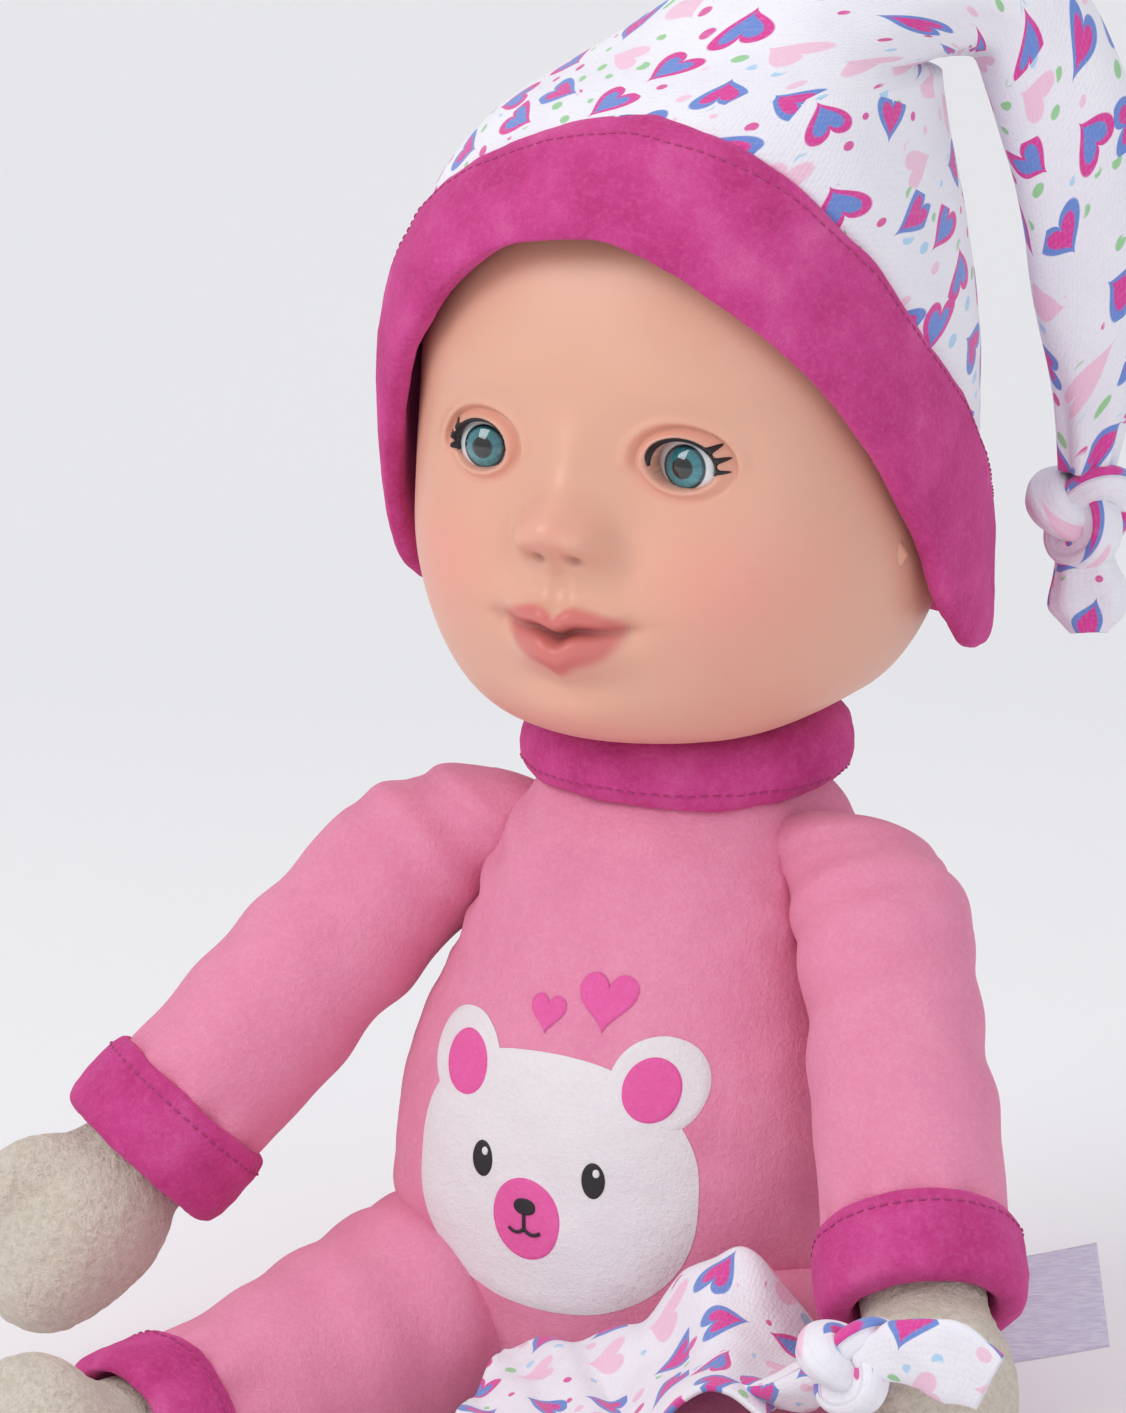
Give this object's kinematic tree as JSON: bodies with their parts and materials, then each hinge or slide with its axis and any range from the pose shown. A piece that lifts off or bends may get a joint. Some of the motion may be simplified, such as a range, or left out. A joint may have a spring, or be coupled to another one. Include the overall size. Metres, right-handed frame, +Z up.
{
  "type": "baby doll",
  "caption": "Soft-bodied baby doll in a velour romper with a vinyl head, eyes that close, a knotted cap, a printed comforter and a sound unit in its back.",
  "frame": {"origin": "middle of the flat seat under the torso, on the floor the doll sits on", "axes": "+Z up, the doll faces -Y, its left side is +X"},
  "size_m": [0.231, 0.207, 0.2951],
  "materials": {
    "pink_velour": "soft velour",
    "magenta_velour": "soft velour",
    "beige_plush": "short plush",
    "print_jersey": "printed jersey",
    "print_white": "matte print",
    "print_pink": "matte print",
    "print_dark": "matte print",
    "satin_label": "satin",
    "satin_ribbon": "satin",
    "hook_loop": "matte",
    "vinyl_skin": "satin",
    "lash_black": "satin",
    "eye_plastic": "gloss",
    "eye_lens": "gloss",
    "case_plastic": "matte",
    "button_plastic": "matte",
    "dark_plastic": "matte",
    "circuit_green": "satin",
    "cell_can": "satin",
    "steel": "satin",
    "neck_fabric": "soft velour"
  },
  "bodies": {
    "torso": {"torso": "pink_velour", "collar": "magenta_velour", "bear_face_print": "print_white", "bear_pink_print": "print_pink", "bear_features_print": "print_dark", "care_label": "satin_label", "loop_patch": "hook_loop", "module_front_case": "case_plastic", "module_back_case": "case_plastic", "circuit_board": "circuit_green", "speaker": "dark_plastic", "battery_1": "cell_can", "battery_2": "cell_can", "battery_3": "cell_can", "contact_top": "steel", "contact_bottom": "steel", "battery_door": "case_plastic", "battery_door_screw": "steel", "case_screw_1": "steel", "case_screw_2": "steel", "button_spring": "steel"},
    "button": {"press_button": "button_plastic"},
    "switch": {"power_switch": "dark_plastic"},
    "flap": {"back_flap": "pink_velour", "hook_tab": "pink_velour"},
    "neck": {"neck_plug": "neck_fabric", "neck_tie": "case_plastic"},
    "head": {"head_shell": "vinyl_skin", "left_eye_socket": "case_plastic", "right_eye_socket": "case_plastic", "left_lashes": "lash_black", "right_lashes": "lash_black"},
    "left_eye": {"left_eyeball": "eye_plastic", "left_eye_lens": "eye_lens", "left_eye_weight": "steel"},
    "right_eye": {"right_eyeball": "eye_plastic", "right_eye_lens": "eye_lens", "right_eye_weight": "steel"},
    "cap": {"cap_brim": "magenta_velour", "cap_crown": "print_jersey", "cap_tail": "print_jersey", "cap_knot": "print_jersey"},
    "left_arm": {"left_sleeve": "pink_velour", "left_cuff": "magenta_velour", "left_hand": "beige_plush", "comforter_cloth": "print_jersey", "comforter_knot": "print_jersey", "comforter_ribbon": "satin_ribbon"},
    "right_arm": {"right_sleeve": "pink_velour", "right_cuff": "magenta_velour", "right_hand": "beige_plush"},
    "left_leg": {"left_leg": "pink_velour", "left_ankle_cuff": "magenta_velour", "left_foot": "beige_plush"},
    "right_leg": {"right_leg": "pink_velour", "right_ankle_cuff": "magenta_velour", "right_foot": "beige_plush"}
  },
  "joints": [
    {"name": "neck_nod", "type": "hinge", "parent": "torso", "child": "neck", "pos_m": [0, 0, 0.133], "axis": [1, 0, 0], "range_deg": [-4, 3]},
    {"name": "head_turn", "type": "hinge", "parent": "neck", "child": "head", "pos_m": [0, 0, 0.15], "axis": [0, 0, 1], "range_deg": [-60, 60]},
    {"name": "left_eye_roll", "type": "hinge", "parent": "head", "child": "left_eye", "pos_m": [0.021, -0.0365, 0.2], "axis": [0.9397, 0.342, 0], "range_deg": [0, 58]},
    {"name": "right_eye_roll", "type": "hinge", "parent": "head", "child": "right_eye", "pos_m": [-0.021, -0.0365, 0.2], "axis": [0.9397, -0.342, 0], "range_deg": [0, 58]},
    {"name": "cap_lift", "type": "slide", "parent": "head", "child": "cap", "axis": [0, 0, 1], "range_m": [0, 0.13]},
    {"name": "left_shoulder", "type": "hinge", "parent": "torso", "child": "left_arm", "pos_m": [0.044, -0.008, 0.122], "axis": [-1, 0, 0], "range_deg": [0, 90]},
    {"name": "right_shoulder", "type": "hinge", "parent": "torso", "child": "right_arm", "pos_m": [-0.044, -0.008, 0.122], "axis": [-1, 0, 0], "range_deg": [-20, 80]},
    {"name": "left_hip", "type": "hinge", "parent": "torso", "child": "left_leg", "pos_m": [0.033, -0.024, 0.022], "axis": [1, 0, 0], "range_deg": [0, 80]},
    {"name": "right_hip", "type": "hinge", "parent": "torso", "child": "right_leg", "pos_m": [-0.033, -0.024, 0.022], "axis": [1, 0, 0], "range_deg": [0, 80]},
    {"name": "flap_open", "type": "hinge", "parent": "torso", "child": "flap", "pos_m": [0.0262, 0.0316, 0.075], "axis": [0, 0, -1], "range_deg": [0, 100]},
    {"name": "button_press", "type": "slide", "parent": "torso", "child": "button", "axis": [0, 1, 0], "range_m": [0, 0.0025], "stiffness_N_per_m": 400, "springref_m": -0.001, "deforming": ["button_spring"]},
    {"name": "switch_slide", "type": "slide", "parent": "torso", "child": "switch", "axis": [0, 0, 1], "range_m": [0, 0.005]}
  ]
}
